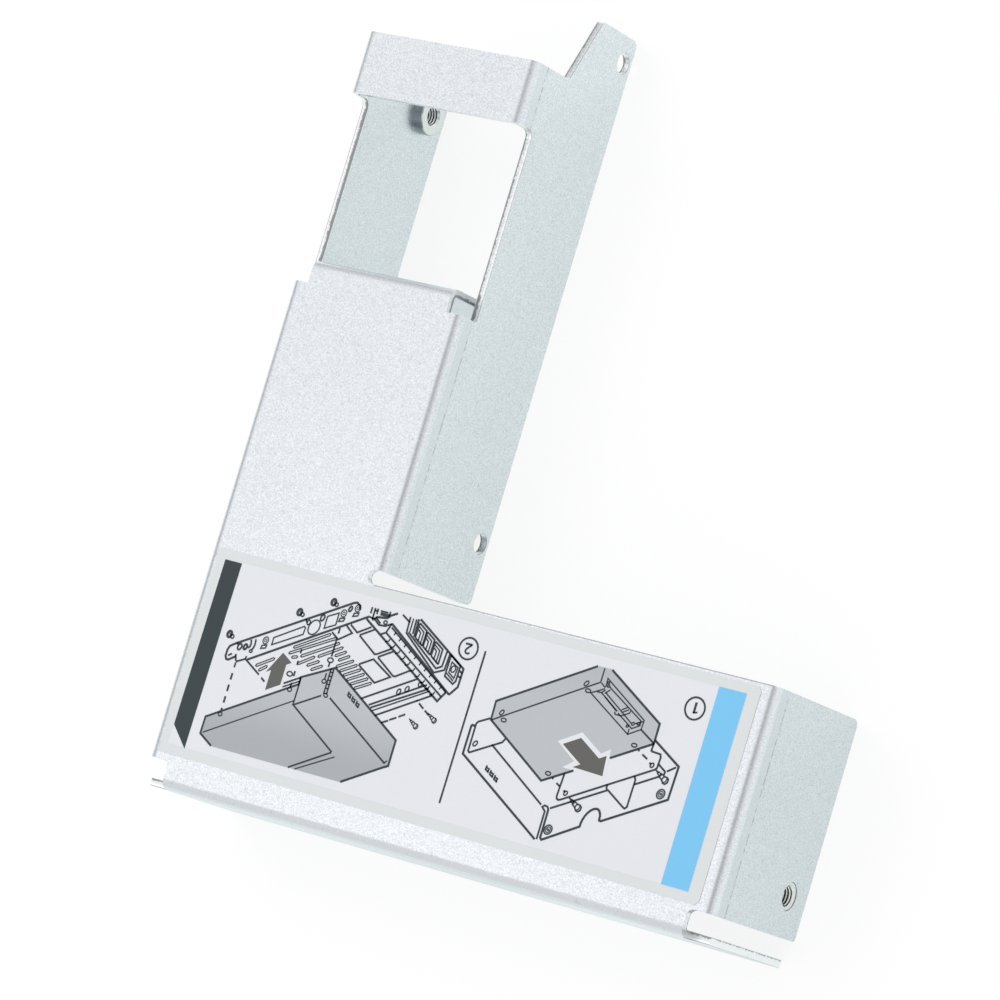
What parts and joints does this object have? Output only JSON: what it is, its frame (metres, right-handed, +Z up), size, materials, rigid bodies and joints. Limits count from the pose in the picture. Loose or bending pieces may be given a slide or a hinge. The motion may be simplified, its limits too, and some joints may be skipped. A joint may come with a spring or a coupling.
{
  "type": "drive bay adapter bracket",
  "caption": "L-shaped folded sheet steel bracket with walls on all sides, clinch nuts, drive screw holes and a printed label, for fitting a small drive in a larger drive bay.",
  "frame": {"origin": "under the middle of the whole bracket, at the height of its walls' free edges", "axes": "+Y along the long leg, away from the short leg; +X along the short leg, away from the long leg; +Z up, towards the plate"},
  "size_m": [0.1016, 0.1298, 0.0249],
  "materials": {
    "sheet_steel": "zinc coated sheet, matt with a fine grain",
    "nut_steel": "zinc plated, turned",
    "label_paper": "satin label stock, light grey border",
    "print_pale": "satin print",
    "print_blue": "satin print",
    "print_brown": "satin print",
    "print_grey": "satin print",
    "print_dark": "satin print"
  },
  "bodies": {
    "root": {"bracket": "sheet_steel", "clinch_nut_front": "nut_steel", "clinch_nut_rear": "nut_steel", "clinch_nut_end": "nut_steel", "label": "label_paper", "label_panel": "print_pale", "label_print_blue": "print_blue", "label_print_arrows": "print_brown", "label_print_grey": "print_grey", "label_print_dark": "print_dark"}
  },
  "joints": []
}
